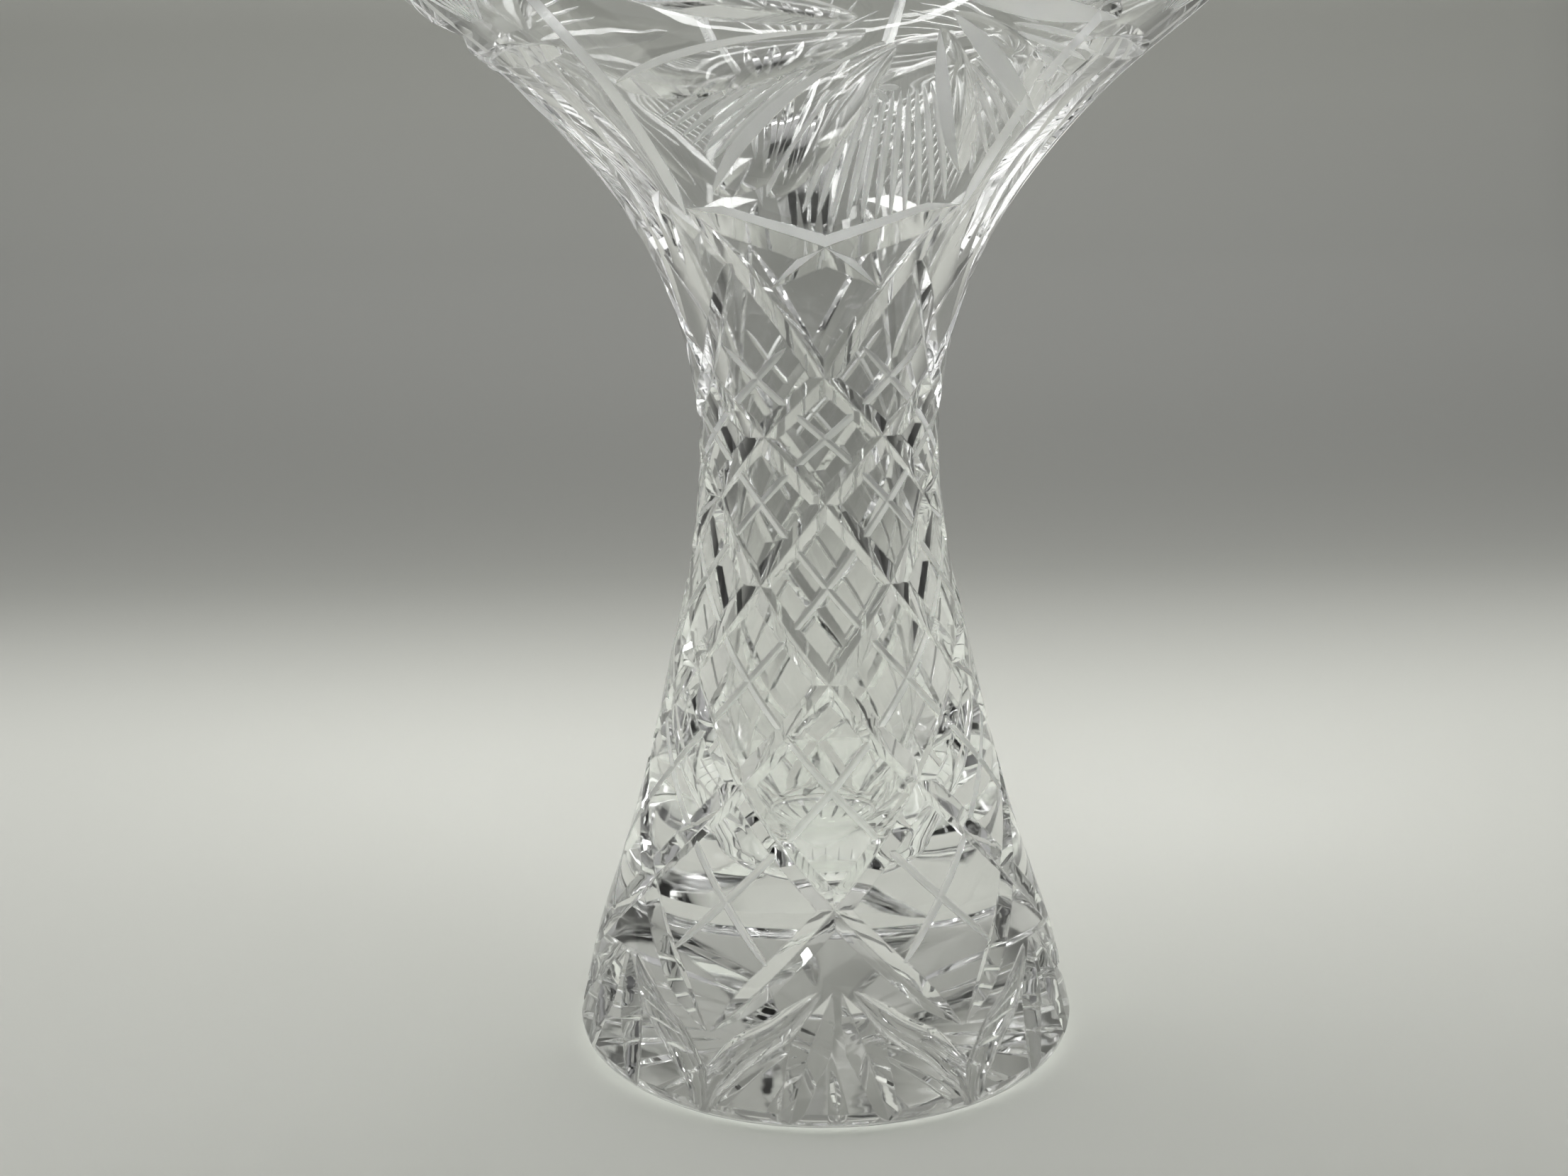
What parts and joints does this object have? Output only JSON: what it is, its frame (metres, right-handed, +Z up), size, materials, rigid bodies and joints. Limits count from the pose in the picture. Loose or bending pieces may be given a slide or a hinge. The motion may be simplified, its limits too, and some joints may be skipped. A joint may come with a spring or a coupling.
{
  "type": "cut crystal vase",
  "caption": "Tall cut lead crystal vase: spreading foot, narrow diamond-cut waist and a wide trumpet bowl with pinwheel cuts; it stands on a table and holds flowers in water.",
  "frame": {"origin": "centre of the foot's underside, on the table", "axes": "+Z up along the vase's axis; -Y through the front fan of foot cuts; +X to the right of it"},
  "size_m": [0.225, 0.225, 0.28],
  "materials": {
    "crystal": "polished"
  },
  "bodies": {
    "root": {"vase_body": "crystal"}
  },
  "joints": []
}
